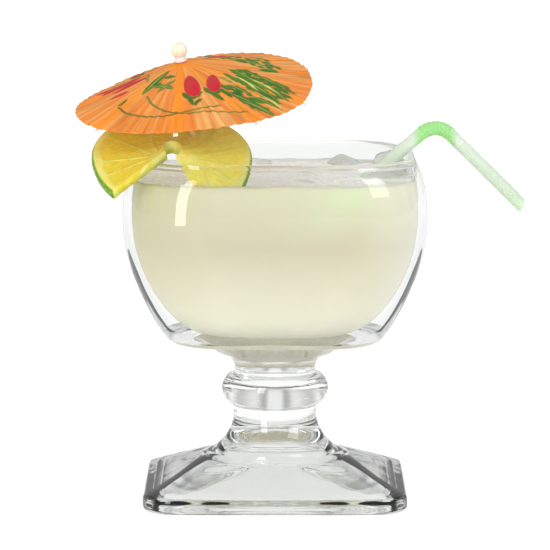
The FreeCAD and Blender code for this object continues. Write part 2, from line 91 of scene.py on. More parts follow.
class Look:
    """A node material with short names for the nodes it is made from."""

    def __init__(self, name):
        self.m = bpy.data.materials.new(name)
        self.m.use_nodes = True
        self.nt = self.m.node_tree
        self.nt.nodes.clear()
        self.out = self.nt.nodes.new("ShaderNodeOutputMaterial")
        self.p = self.nt.nodes.new("ShaderNodeBsdfPrincipled")
        self.nt.links.new(self.p.outputs[0], self.out.inputs["Surface"])
        self.tc = self.nt.nodes.new("ShaderNodeTexCoord")

    def link(self, a, b):
        self.nt.links.new(a, b)

    def set(self, **kw):
        for k, v in kw.items():
            self.p.inputs[k.replace("_", " ")].default_value = v

    def node(self, kind, **inputs):
        n = self.nt.nodes.new(kind)
        for k, v in inputs.items():
            n.inputs[k.replace("_", " ")].default_value = v
        return n

    def coords(self, scale=(1, 1, 1), src=None):
        mp = self.nt.nodes.new("ShaderNodeMapping")
        mp.inputs["Scale"].default_value = scale
        self.link(src or self.tc.outputs["Object"], mp.inputs["Vector"])
        return mp.outputs[0]

    def noise(self, scale, detail=3.0, rough=0.55, vec=None, distort=0.0):
        n = self.node("ShaderNodeTexNoise")
        n.inputs["Scale"].default_value = scale
        n.inputs["Detail"].default_value = detail
        n.inputs["Roughness"].default_value = rough
        n.inputs["Distortion"].default_value = distort
        self.link(vec or self.tc.outputs["Object"], n.inputs["Vector"])
        return n.outputs["Fac"]

    def voronoi(self, scale, vec=None, feature="F1"):
        n = self.node("ShaderNodeTexVoronoi")
        n.feature = feature
        n.inputs["Scale"].default_value = scale
        self.link(vec or self.tc.outputs["Object"], n.inputs["Vector"])
        return n.outputs["Distance"]

    def range(self, v, a, b, c, d):
        n = self.nt.nodes.new("ShaderNodeMapRange")
        n.inputs["From Min"].default_value = a
        n.inputs["From Max"].default_value = b
        n.inputs["To Min"].default_value = c
        n.inputs["To Max"].default_value = d
        self.link(v, n.inputs["Value"])
        return n.outputs[0]

    def math(self, op, a, b=None):
        n = self.nt.nodes.new("ShaderNodeMath")
        n.operation = op
        for k, v in enumerate((a, b)):
            if v is None:
                continue
            if isinstance(v, (int, float)):
                n.inputs[k].default_value = v
            else:
                self.link(v, n.inputs[k])
        return n.outputs[0]

    def mix(self, fac, a, b):
        n = self.nt.nodes.new("ShaderNodeMix")
        n.data_type = "RGBA"
        for sock, v in ((n.inputs[0], fac), (n.inputs[6], a), (n.inputs[7], b)):
            if isinstance(v, (int, float, tuple)):
                sock.default_value = v
            else:
                self.link(v, sock)
        return n.outputs[2]

    def attr(self, name):
        n = self.nt.nodes.new("ShaderNodeAttribute")
        n.attribute_name = name
        return n.outputs["Fac"]

    def bump(self, height, strength=0.3, distance=0.001, normal=None):
        n = self.nt.nodes.new("ShaderNodeBump")
        n.inputs["Strength"].default_value = strength
        n.inputs["Distance"].default_value = distance
        self.link(height, n.inputs["Height"])
        if normal is not None:
            self.link(normal, n.inputs["Normal"])
        self.link(n.outputs[0], self.p.inputs["Normal"])
        return n.outputs[0]

    def color(self, v):
        self.link(v, self.p.inputs["Base Color"])

    def rough(self, v):
        self.link(v, self.p.inputs["Roughness"])


def wear(o, *looks):
    o.data.materials.clear()
    for look in looks:
        o.data.materials.append(look.m)


# ------------------------------------------------------------------ the glass: its sections, bottom to top (mm)
BOWL = [
    (66.8, 39.8, 22.0), (67.2, 41.9, 23.0), (68.4, 43.9, 24.2), (71.2, 46.3, 26.0), (78.2, 50.7, 28.5), (88.9, 55.9, 31.0),
    (99.4, 59.8, 32.0), (109.5, 62.2, 33.0), (119.0, 63.1, 33.0), (129.0, 62.7, 33.0), (137.5, 61.0, 33.0), (145.0, 57.6, 33.0),
]
CAVITY = [
    (69.8, 22.0, 14.0), (70.4, 28.0, 17.5), (72.0, 33.4, 20.5), (76.0, 39.6, 23.5), (82.2, 45.4, 26.5), (90.6, 50.8, 29.0),
    (101.0, 55.3, 30.0), (111.0, 57.8, 30.5), (121.0, 58.7, 30.5), (130.0, 58.5, 30.3), (138.0, 57.1, 30.0), (145.0, 54.2, 29.8), (147.0, 53.2, 29.6),
]
FOOT_EDGE = [
    (0.0, 52.6, 12.5), (0.5, 53.8, 13.3), (1.4, 54.6, 13.8), (3.0, 54.9, 14.0), (5.4, 54.8, 14.0), (6.6, 54.3, 13.7), (7.3, 53.4, 13.2), (7.6, 52.4, 12.8),
]
FOOT_TOP = [
    (7.6, 52.4, 12.8), (9.6, 47.8, 12.8), (12.0, 42.5, 14.0), (14.5, 37.4, 18.0), (16.8, 32.2, 22.0), (18.8, 26.5, 21.5),
]
HOLLOW = [
    (0.0, 47.4, 10.0), (2.5, 46.4, 10.5), (4.6, 43.0, 12.0), (7.0, 37.5, 14.0), (9.6, 32.0, 16.5), (12.4, 26.0, 18.0),
]
LEVEL = 135.7
AROUND = 216
AZ = np.arange(AROUND) / AROUND * 2 * math.pi


def pchip(xs, ys, x):
    """A smooth curve through the rows that never overshoots them."""
    xs, ys = np.asarray(xs, float), np.asarray(ys, float)
    h = np.diff(xs)
    d = np.diff(ys) / h
    m = np.zeros(len(xs))
    for k in range(1, len(xs) - 1):
        if d[k - 1] * d[k] > 0:
            w1, w2 = 2 * h[k] + h[k - 1], h[k] + 2 * h[k - 1]
            m[k] = (w1 + w2) / (w1 / d[k - 1] + w2 / d[k])
    m[0] = d[0] + (d[0] - m[1]) * 0.5 if len(xs) > 2 else d[0]
    m[-1] = d[-1] + (d[-1] - m[-2]) * 0.5 if len(xs) > 2 else d[-1]
    k = int(np.clip(np.searchsorted(xs, x) - 1, 0, len(h) - 1))
    t = (x - xs[k]) / h[k]
    return ((1 + 2 * t) * (1 - t) ** 2 * ys[k] + t * (1 - t) ** 2 * h[k] * m[k]
            + t * t * (3 - 2 * t) * ys[k + 1] + t * t * (t - 1) * h[k] * m[k + 1])


def section(table, z):
    zs = [r[0] for r in table]
    return pchip(zs, [r[1] for r in table], z), pchip(zs, [r[2] for r in table], z)


def square_radius(half, corner, az=AZ):
    """How far out a square with rounded corners lies, all the way round."""
    a = np.abs(((az + math.pi / 4) % (math.pi / 2)) - math.pi / 4)
    c = half - corner
    s = np.cos(a) + np.sin(a)
    disc = np.maximum((c * s) ** 2 - (2 * c * c - corner ** 2), 0)
    arc = c * s + np.sqrt(disc)
    flat = half / np.cos(a)
    return np.where(np.tan(a) * half <= c, flat, arc)


def stem_radius(z):
    """The turned stem's radius at a height, 0 where there is none."""
    neck, small, low, flare = 17.0, 1.0, 17.4, 19.0
    root, curve = 18.8, 7.76
    top, bottom = 52.9 - small, 38.8
    mid = (top + bottom) / 2
    cx = root - math.sqrt(curve ** 2 - (top - mid) ** 2)
    fx, fz = low + flare, 36.0
    cz = 52.9 + 0.5 + 7.2
    if z > 66.8:
        return 0.0
    if z >= cz:
        return neck + 7.2 + (34.0 - neck - 7.2) * (z - cz) / (66.8 - cz)
    if z > cz - 7.2:
        return neck + 7.2 - math.sqrt(max(7.2 ** 2 - (z - (cz - 7.2)) ** 2, 0))
    if z >= 52.9:
        return neck
    if z >= top:
        return neck + small - math.sqrt(max(small ** 2 - (52.9 - z) ** 2, 0))
    if z >= bottom:
        return cx + math.sqrt(curve ** 2 - (z - mid) ** 2)
    if z >= bottom - small:
        return low + small - math.sqrt(max(small ** 2 - (z - (bottom - small)) ** 2, 0))
    if z >= fz:
        return low
    if z >= 17.8:
        return fx - math.sqrt(max(flare ** 2 - (fz - z) ** 2, 0))
    return fx - math.sqrt(flare ** 2 - (fz - 17.8) ** 2) if z >= 13.0 else 0.0


def dome_radius(z):
    dc = 28.0 - 26.8
    return math.sqrt(max(26.8 ** 2 - (z - dc) ** 2, 0)) if 9.0 <= z <= 28.0 else 0.0


def steps(a, b, n):
    return [a + (b - a) * k / n for k in range(n + 1)]


def build_glass():
    rows = []  # (z, radii round the ring)

    def add(z, radii):
        rows.append((z, np.array(radii)))

    # the hollow under the foot, from its crown down to the mouth
    t = steps(0.0, 1.0, 26)
    for u in t[1:]:
        ang = u * math.acos((12.4 - 1.2) / 26.8)
        r, z = 26.8 * math.sin(ang), 1.2 + 26.8 * math.cos(ang)
        if z > 12.4:
            add(z, np.full(AROUND, r))
    for z in list(np.linspace(12.4, 0.5, 34)):
        h, c = section(HOLLOW, z)
        r = square_radius(h, c)
        if z > 9.0:
            r = np.maximum(r, dome_radius(z))
        add(z, r)
    h, c = section(HOLLOW, 0.0)
    add(0.12, square_radius(h - 0.05, c))
    add(0.0, square_radius(h + 0.25, c))
    # the flat it stands on, and its edge
    add(0.0, square_radius(51.9, 12.4))
    for z in [0.0, 0.15, 0.4, 0.8, 1.4, 2.2, 3.0, 4.0, 5.0, 5.7, 6.3, 6.8, 7.15, 7.4, 7.6]:
        add(z, square_radius(*section(FOOT_EDGE, z)))
    for z in list(np.linspace(7.75, 18.7, 40)):
        h, c = section(FOOT_TOP, z)
        add(z, np.maximum(square_radius(h, c), stem_radius(z)))
    # the turned stem
    zs = sorted(list(np.linspace(18.9, 36.0, 22)) + [36.8]
                + [37.8 + 1.0 * math.sin(a) for a in np.linspace(0, math.pi / 2 - 0.05, 6)]
                + [38.801] + list(np.linspace(39.0, 51.7, 34)) + [51.899]
                + [52.9 - 1.0 * math.cos(a) for a in np.linspace(0.05, math.pi / 2, 6)]
                + list(np.linspace(53.1, 60.6, 18)) + list(np.linspace(61.0, 66.7, 10)) + [66.79])
    for z in zs:
        add(z, np.full(AROUND, stem_radius(z)))
    # the underside of the bowl and up its outside
    add(66.8, np.full(AROUND, 34.4))
    h, c = section(BOWL, 66.8)
    add(66.8, square_radius(h - 0.7, c))
    for z in list(np.linspace(66.8, 69.6, 14)) + list(np.linspace(70.2, 143.3, 84)):
        add(z, square_radius(*section(BOWL, z)))
    # the melted round rim
    ho, co = section(BOWL, 143.4)
    hi, ci = section(CAVITY, 143.4)
    for a in np.linspace(0.1, math.pi / 2, 8):
        add(143.4 + 1.6 * math.sin(a), square_radius(56.3 + (ho - 56.3) * math.cos(a), co))
    for a in np.linspace(math.pi / 2, 0.1, 8):
        add(143.4 + 1.6 * math.sin(a), square_radius(55.9 - (55.9 - hi) * math.cos(a), ci))
    # down the inside
    for z in list(np.linspace(143.3, 74.0, 84)) + list(np.linspace(73.4, 69.85, 14)):
        add(z, square_radius(*section(CAVITY, z)))
    h, c = section(CAVITY, 69.8)
    add(69.8, square_radius(h - 0.6, c))
    for k in (0.75, 0.5, 0.25):
        add(69.8, square_radius(h * k, c * k))
    verts = [Vector((0, 0, 28.0)) * MM]
    for z, radii in rows:
        for a, r in zip(AZ, radii):
            verts.append(Vector((r * math.cos(a), r * math.sin(a), z)) * MM)
    faces = [(0, 1 + i, 1 + (i + 1) % AROUND) for i in range(AROUND)]
    faces += rings_to_faces(len(rows), AROUND, 1)
    last = 1 + (len(rows) - 1) * AROUND
    verts.append(Vector((0, 0, 69.8)) * MM)
    faces += [(last + (i + 1) % AROUND, last + i, len(verts) - 1) for i in range(AROUND)]
    faces = [tuple(reversed(f)) for f in faces]
    return grid_mesh("clear_glass", verts, faces)


def flip_if_inside_out(o):
    """Turns the faces round if they face inwards."""
    import bmesh
    bm = bmesh.new()
    bm.from_mesh(o.data)
    if bm.calc_volume(signed=True) < 0:
        bmesh.ops.reverse_faces(bm, faces=bm.faces)
        bm.to_mesh(o.data)
    bm.free()


glass = build_glass()
flip_if_inside_out(glass)
look = Look("clear_moulded_glass")
look.set(Transmission_Weight=1.0, IOR=1.5, Roughness=0.012)
n1 = look.noise(22, 2.0, 0.5)
n2 = look.noise(160, 2.0, 0.5)
look.color(look.mix(look.range(n1, 0.3, 0.7, 0, 1), lin(252, 253, 253), lin(250, 252, 250)))
look.rough(look.range(n2, 0.3, 0.75, 0.0, 0.02))
look.bump(look.math("ADD", n1, look.math("MULTIPLY", n2, 0.03)), 0.22, 0.0012)
foot_look = look
look = Look("clear_bowl_wall")
look.set(Transmission_Weight=1.0, IOR=1.012, Roughness=0.005, Coat_Weight=1.0, Coat_IOR=1.5, Coat_Roughness=0.01)
n1 = look.noise(22, 2.0, 0.5)
n2 = look.noise(160, 2.0, 0.5)
look.color(look.mix(look.range(n1, 0.3, 0.7, 0, 1), lin(250, 251, 251), lin(247, 250, 248)))
look.rough(look.range(n2, 0.3, 0.75, 0.0, 0.02))
look.bump(look.math("ADD", n1, look.math("MULTIPLY", n2, 0.03)), 0.2, 0.0012)
wear(glass, foot_look, look)
high = np.array([1 if 0.0692 < p.center.z < 0.1425 or (p.center.z > 0.0667 and math.hypot(p.center.x, p.center.y) < 0.0395) else 0
                 for p in glass.data.polygons], np.int32)
glass.data.polygons.foreach_set("material_index", high)
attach(glass, "root")
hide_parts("glass")

# ------------------------------------------------------------------ ice, floating at the top
# centre (mm), half sizes (mm), turns (degrees)
ICE = [
    ((31, 40, 128.6), (9.5, 9.0, 9.0), (14, 22, 20)),
    ((45, 33, 128.5), (9.0, 8.5, 8.0), (-18, 12, 50)),
    ((-8, 44, 126.6), (10.0, 9.0, 9.0), (8, -14, 12)),
    ((46, -20, 129.0), (7.5, 8.5, 8.0), (24, -8, 35)),
    ((14, 16, 126.4), (11.0, 10.0, 9.5), (-9, 10, 60)),
    ((-38, 30, 127.0), (10.0, 10.0, 9.0), (11, 7, 28)),
    ((8, -34, 126.8), (10.0, 9.0, 9.0), (-7, -9, 10)),
    ((49.2, 4, 137.0), (5.6, 9.0, 6.4), (14, -16, 12)),
]
from mathutils import Euler


def block(name, centre, half, turn, seed):
    """A worn ice cube: a cube with melted edges and uneven sides."""
    n = 12
    verts, index, faces = [], {}, []

    def vid(p):
        key = tuple(round(v, 5) for v in p)
        if key not in index:
            index[key] = len(verts)
            verts.append(p)
        return index[key]

    for axis in range(3):
        for sign in (-1, 1):
            for i in range(n):
                for j in range(n):
                    quad = []
                    for di, dj in ((0, 0), (1, 0), (1, 1), (0, 1)):
                        p = [0, 0, 0]
                        p[axis] = sign
                        p[(axis + 1) % 3] = -1 + 2 * (i + di) / n
                        p[(axis + 2) % 3] = -1 + 2 * (j + dj) / n
                        quad.append(vid(tuple(p)))
                    faces.append(tuple(quad) if sign > 0 else tuple(reversed(quad)))
    rot = Euler([math.radians(t) for t in turn]).to_matrix()
    out = []
    for p in verts:
        v = Vector(p)
        s = (abs(v.x) ** 5 + abs(v.y) ** 5 + abs(v.z) ** 5) ** 0.2
        v = v / s
        w = 1 + 0.10 * (noise.noise(v * 1.3 + Vector((seed, 0, 0))) + 0.4 * noise.noise(v * 3.1 + Vector((0, seed, 0))))
        v = Vector((v.x * half[0], v.y * half[1], v.z * half[2])) * w
        out.append((rot @ v + Vector(centre)) * MM)
    o = grid_mesh(name, out, faces)
    flip_if_inside_out(o)
    return o


look = Look("ice")
look.set(Transmission_Weight=0.78, IOR=1.31, Roughness=0.06)
n1 = look.noise(90, 3.0, 0.6)
look.color(look.mix(look.range(n1, 0.35, 0.65, 0, 1), lin(252, 254, 254), lin(240, 246, 244)))
look.rough(look.range(n1, 0.3, 0.7, 0.02, 0.16))
look.bump(n1, 0.35, 0.0012)
ice_look = look
ice = []
for k, (c, h, t) in enumerate(ICE, 1):
    o = block("ice_%d" % k, c, h, t, k * 3.7)
    wear(o, ice_look)
    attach(o, "root")
    ice.append(o)

# ------------------------------------------------------------------ lemonade


def drink_height(x, y, inner):
    """The uneven surface: a small climb at the wall, slow ripples and swells over the ice."""
    r = np.hypot(x, y)
    gap = inner - r
    z = 0.9 * np.exp(-np.maximum(gap, 0) / 1.1)
    z = z + 0.16 * np.sin(x * 0.33 + y * 0.21) + 0.12 * np.sin(-x * 0.17 + y * 0.41 + 1.0) + 0.07 * np.sin(x * 0.8 + 2.0) * np.sin(y * 0.7)
    for (cx, cy, cz), half, turn in ICE:
        d = np.hypot(x - cx, y - cy) / (half[0] * 1.15)
        z = z + (0.25 + 0.10 * max(cz - 126, 0)) * np.exp(-d ** 4)
    return z


def build_drink():
    over = 0.15
    rows = []
    levels = list(np.linspace(69.9, 75, 10)) + list(np.linspace(76.2, LEVEL - 0.6, 62))
    verts = [Vector((0, 0, 69.65)) * MM]
    h, c = section(CAVITY, 69.8)
    for k in (0.4, 0.8, 0.97):
        for a, r in zip(AZ, square_radius(h * k, c * k)):
            rows.append((a, r, 69.65))
    for z in levels:
        for a, r in zip(AZ, square_radius(*section(CAVITY, z)) + over):
            rows.append((a, r, z))
    nring = 3 + len(levels)
    for a, r, z in rows:
        verts.append(Vector((r * math.cos(a), r * math.sin(a), z)) * MM)
    faces = [(0, 1 + (i + 1) % AROUND, 1 + i) for i in range(AROUND)]
    faces += rings_to_faces(nring, AROUND, 1)
    inner = square_radius(*section(CAVITY, LEVEL)) + over
    start = len(verts)
    fracs = [1.0, 0.995, 0.99, 0.983, 0.975, 0.965, 0.95] + list(np.linspace(0.93, 0.03, 62))
    for f in fracs:
        x, y = inner * f * np.cos(AZ), inner * f * np.sin(AZ)
        z = LEVEL + drink_height(x, y, inner)
        for p in zip(x, y, z):
            verts.append(Vector(p) * MM)
    side_faces = len(faces)
    faces += rings_to_faces(1 + len(fracs), AROUND, start - AROUND)
    last = start + (len(fracs) - 1) * AROUND
    verts.append(Vector((0, 0, LEVEL + float(drink_height(np.array([0.0]), np.array([0.0]), 55.0)[0]))) * MM)
    faces += [(last + i, last + (i + 1) % AROUND, len(verts) - 1) for i in range(AROUND)]
    o = grid_mesh("cloudy_lemonade", verts, faces)
    ids = np.zeros(len(o.data.polygons), np.int32)
    ids[side_faces + AROUND:] = 1
    o.data.materials.append(None)
    o.data.polygons.foreach_set("material_index", ids)
    flip_if_inside_out(o)
    return o, ids


def lemonade_look(name, spec):
    look = Look(name)
    look.set(Roughness=0.25, IOR=1.34, Specular_IOR_Level=spec, Subsurface_Weight=0.55, Subsurface_Scale=0.012)
    look.p.inputs["Subsurface Radius"].default_value = (1.0, 1.0, 0.7)
    n1 = look.noise(14, 3.0, 0.55)
    n2 = look.noise(420, 2.0, 0.6)
    sep = look.node("ShaderNodeSeparateXYZ")
    look.link(look.tc.outputs["Object"], sep.inputs[0])
    x, y, z = sep.outputs[0], sep.outputs[1], sep.outputs[2]
    base = look.mix(look.range(n1, 0.3, 0.7, 0, 1), lin(203, 197, 171), lin(197, 192, 164))
    # paler towards the bottom, greener where the straw shows through near the top
    low = look.range(z, 0.070, 0.110, 1, 0)
    base = look.mix(look.math("MULTIPLY", low, 0.9), base, lin(244, 241, 220))
    top = look.range(z, 0.112, 0.133, 0, 1)
    along = look.math("ABSOLUTE", look.math("SUBTRACT", look.math("SUBTRACT", z, 0.1357), look.math("MULTIPLY", look.math("SUBTRACT", x, 0.036), 0.95)))
    near = look.range(along, 0.0, 0.020, 1, 0)
    green = look.math("MULTIPLY", look.math("MULTIPLY", near, top), 0.34)
    base = look.mix(look.math("MULTIPLY", top, 0.45), base, lin(222, 229, 196))
    base = look.mix(green, base, lin(208, 234, 190))
    # painted shade darkens the left side of the drink, and painted light makes the right side paler
    left = look.range(x, -0.058, -0.022, 0.5, 0)
    base = look.mix(left, base, lin(188, 182, 144))
    right = look.range(x, 0.034, 0.058, 0, 0.55)
    base = look.mix(right, base, lin(238, 236, 222))
    pulp = look.range(look.voronoi(300), 0.02, 0.10, 0.10, 0)
    base = look.mix(pulp, base, lin(244, 238, 214))
    # painted highlight: the top surface is paled almost to white, standing in for the sheen it shows
    if spec > 0.2:
        base = look.mix(0.88, base, lin(248, 246, 239))
    look.color(base)
    look.rough(look.range(n2, 0.3, 0.7, 0.10, 0.30))
    look.bump(look.math("ADD", look.noise(60, 3.0, 0.5), look.math("MULTIPLY", n2, 0.2)), 0.12 if spec > 0.2 else 0.08, 0.0008)
    return look


drink, ids = build_drink()
wear(drink, lemonade_look("lemonade_body", 0.02), lemonade_look("lemonade_surface", 0.32))
drink.data.polygons.foreach_set("material_index", ids)
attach(drink, "root")
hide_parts("lemonade")

# ------------------------------------------------------------------ straw
look = Look("straw_green")
look.set(Transmission_Weight=0.42, IOR=1.25, Roughness=0.25)
sep = look.node("ShaderNodeSeparateXYZ")
look.link(look.tc.outputs["Object"], sep.inputs[0])
x, z = sep.outputs[0], sep.outputs[2]
n1 = look.noise(120, 2.0, 0.5)
bellow = look.math("MULTIPLY", look.range(x, 0.0575, 0.0605, 0, 1), look.range(x, 0.0735, 0.0765, 1, 0))
pale = look.mix(look.range(n1, 0.3, 0.7, 0, 1), lin(240, 252, 236), lin(246, 254, 243))
base = look.mix(bellow, pale, lin(190, 248, 170))
lower = look.range(z, 0.118, 0.150, 1, 0)
base = look.mix(look.math("MULTIPLY", lower, 0.55), base, lin(216, 240, 204))
look.color(base)
look.rough(look.range(n1, 0.3, 0.7, 0.16, 0.32))
look.bump(n1, 0.08, 0.0004)
wear(NODES["straw"], look)

# ------------------------------------------------------------------ lime slice
LIME_C = np.array([-42.0, -47.0, 150.2])
LIME_R, LIME_T, LIME_CORE = 33.0, 5.6, 3.0
LIME = [
    (-144, (-23.7, -14.5, -16.6)), (-120, (-30.0, -8.5, -12.0)), (-90, (-33.0, -1.5, -5.2)), (-60, (-28.0, 14.0, 3.2)),
    (-30, (-13.5, 26.0, 9.6)), (0, (0.5, 29.5, 11.2)), (30, (13.5, 27.0, 8.4)), (60, (27.5, 16.5, 2.6)),
    (90, (32.0, 4.5, -5.0)), (118, (29.0, -2.0, -11.5)), (142, (24.5, -3.4, -16.5)), (164, (14.0, -3.0, -23.5)),
]


def lime_rows(count):
    angs = np.array([r[0] for r in LIME], float)
    dirs = np.array([np.array(r[1]) / np.linalg.norm(r[1]) for r in LIME])
    out_a = np.linspace(angs[0], angs[-1], count)
    d = np.stack([np.array([pchip(angs, dirs[:, k], a) for a in out_a]) for k in range(3)], 1)
    d /= np.linalg.norm(d, axis=1)[:, None]
    t = np.gradient(d, axis=0)
    through = np.cross(t, d)
    through /= np.linalg.norm(through, axis=1)[:, None]
    through[through[:, 2] < 0] *= -1
    # smooth the way through along the slice
    for _ in range(12):
        p = np.vstack([through[:1], through, through[-1:]])
        through = (p[:-2] + 2 * p[1:-1] + p[2:]) / 4
        through /= np.linalg.norm(through, axis=1)[:, None]
    return out_a, d, through


SEGS = 10
SEG_SHIFT = 11.0


def lime_masks(ang, r):
    """0-1 amounts of flesh, pith and rind at an angle (degrees) and distance (0-1) in the slice."""
    px, py = r * np.sin(np.radians(ang)), r * np.cos(np.radians(ang))
    k = smooth(-0.16, 0.16, px)                          # the middle is torn: each lobe has a middle of its own
    mx, my = -0.17 + 0.40 * k, -0.17
    qx, qy = px - mx, py - my
    turn = np.degrees(np.arctan2(qx, qy))
    q = np.hypot(qx, qy)
    wob = 1.6 * np.sin(np.radians(turn * 3.0 + 40)) + 1.0 * np.sin(np.radians(turn * 7.0))
    s = ((turn + SEG_SHIFT + wob) / (360.0 / SEGS)) % 1.0
    off = np.minimum(s, 1 - s) * (360.0 / SEGS)          # degrees from the nearest wall
    across = np.radians(off) * q * LIME_R                # mm from the nearest wall
    outer = 0.895 + 0.012 * np.sin(np.radians(ang * 5 + 10)) - 0.045 * np.exp(-(across / 2.0))
    core = 0.06
    flesh = smooth(0.16, 0.55, across) * smooth(core, core + 0.05, q) * smooth(0.10, 0.14, r) * (1 - smooth(outer - 0.02, outer + 0.015, r))
    rind = smooth(0.958, 0.988, r)
    return flesh, rind


def build_lime():
    na, nr = 330, 64
    out_a, d, through = lime_rows(na)
    rr = np.concatenate([np.linspace(0, 0.90, nr - 14), np.linspace(0.912, 1.0, 14)])
    core = LIME_CORE / LIME_R
    verts, uv, flesh_v, rind_v, side_v, dist_v, ang_v = [], [], [], [], [], [], []
    top = {}
    for side in (1, -1):
        for i in range(na):
            for j, q in enumerate(rr):
                r = core + (1 - core) * q
                fl, rd = lime_masks(np.array(out_a[i]), np.array(r))
                edge = max(q - 0.955, 0) / 0.045
                bevel = 1 - 0.42 * edge ** 2
                half = LIME_T / 2 * bevel - 0.32 * float(fl) + 0.16 * math.sin(out_a[i] * 0.21 + r * 30) * float(fl) * 0.5
                radius = r * LIME_R - (0.0 if side > 0 else 0.0)
                p = LIME_C + d[i] * radius + through[i] * half * side
                top[(side, i, j)] = len(verts)
                verts.append(Vector(p) * MM)
                flesh_v.append(float(fl))
                rind_v.append(float(rd))
                dist_v.append(r)
                ang_v.append(out_a[i])
    faces = []
    m = len(rr)
    for side in (1, -1):
        for i in range(na - 1):
            for j in range(m - 1):
                q = (top[(side, i, j)], top[(side, i + 1, j)], top[(side, i + 1, j + 1)], top[(side, i, j + 1)])
                faces.append(q if side > 0 else tuple(reversed(q)))
    # the rind wall, two rows bulging out a little
    bulge = []
    for i in range(na):
        p = LIME_C + d[i] * (LIME_R + 0.25)
        bulge.append(len(verts))
        verts.append(Vector(p) * MM)
        flesh_v.append(0.0)
        rind_v.append(1.0)
        dist_v.append(1.02)
        ang_v.append(out_a[i])
    for i in range(na - 1):
        faces.append((top[(1, i, m - 1)], top[(1, i + 1, m - 1)], bulge[i + 1], bulge[i]))
        faces.append((bulge[i], bulge[i + 1], top[(-1, i + 1, m - 1)], top[(-1, i, m - 1)]))
        faces.append((top[(-1, i, 0)], top[(-1, i + 1, 0)], top[(1, i + 1, 0)], top[(1, i, 0)]))
    # the two cut ends
    for i, sgn in ((0, 1), (na - 1, -1)):
        for j in range(m - 1):
            q = (top[(1, i, j)], top[(1, i, j + 1)], top[(-1, i, j + 1)], top[(-1, i, j)])
            faces.append(q if sgn > 0 else tuple(reversed(q)))
        q = (top[(1, i, m - 1)], bulge[i], top[(-1, i, m - 1)])
        faces.append(q if sgn > 0 else tuple(reversed(q)))
    o = grid_mesh("lime_round", verts, faces)
    attribute(o, "flesh", flesh_v)
    attribute(o, "rind", rind_v)
    attribute(o, "out", dist_v)
    uvl = o.data.uv_layers.new(name="turn")
    loops = np.zeros(len(o.data.loops), np.int32)
    o.data.loops.foreach_get("vertex_index", loops)
    av, dv = np.array(ang_v), np.array(dist_v)
    co = np.zeros((len(loops), 2), np.float32)
    co[:, 0] = av[loops] / 360.0
    co[:, 1] = dv[loops]
    uvl.data.foreach_set("uv", co.ravel())
    flip_if_inside_out(o)
    return o


lime = build_lime()
look = Look("lime_flesh_and_rind")
look.set(Roughness=0.3, IOR=1.36, Subsurface_Weight=0.35, Subsurface_Scale=0.003)
uv = look.nt.nodes.new("ShaderNodeUVMap")
uv.uv_map = "turn"
rad = look.coords((260, 9, 1), uv.outputs[0])
cell = look.noise(1.0, 3.0, 0.6, rad, 0.4)
n1 = look.noise(130, 3.0, 0.6)
n2 = look.noise(900, 2.0, 0.5)
flesh, rind, out = look.attr("flesh"), look.attr("rind"), look.attr("out")
sep = look.node("ShaderNodeSeparateXYZ")
look.link(look.tc.outputs["Object"], sep.inputs[0])
# painted light and shade: the flesh is painted darker and deeper yellow on the left lobe and paler on the right lobe
side = look.range(sep.outputs[0], -0.062, -0.026, 0, 1)
juice = look.mix(side, lin(230, 214, 14), lin(252, 250, 120))
juice = look.mix(look.range(cell, 0.35, 0.62, 0, 1), juice, lin(240, 230, 104))
juice = look.mix(look.range(n1, 0.55, 0.75, 0, 0.40), juice, lin(206, 192, 30))
pith = look.mix(look.range(n1, 0.3, 0.7, 0, 1), lin(240, 240, 150), lin(228, 230, 104))
peel = look.mix(look.range(look.voronoi(620), 0.0, 0.5, 1, 0), lin(96, 142, 12), lin(150, 184, 40))
base = look.mix(flesh, pith, juice)
base = look.mix(rind, base, peel)
look.color(base)
look.rough(look.range(n1, 0.3, 0.7, 0.18, 0.42))
look.bump(look.math("ADD", look.math("MULTIPLY", cell, flesh), look.math("MULTIPLY", n2, 0.25)), 0.5, 0.0006)
wear(lime, look)
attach(lime, "root")
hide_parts("lime_slice")

# ------------------------------------------------------------------ parasol paper
APEX = Vector((-38.4, -45.0, 186.7))
LEAN = Vector((-0.147, -0.222, 0.9639)).normalized()
TILT = Vector((0, 0, 1)).rotation_difference(LEAN).to_matrix()
PLEATS, PR, DROP, SKEW, HOLE, THICK, PLEAT = 64, 49.0, 13.9, 2.9, 1.02, 0.4, 0.55
RIB_ANGLES = [-27, 31, 78, 127, 172, 218, 262, 300]
RIB_PHI = []
for deg in RIB_ANGLES:
    st = 180.0 / PLEATS
    RIB_PHI.append(math.radians(round(deg / st / 2 - 0.5) * 2 * st + st))

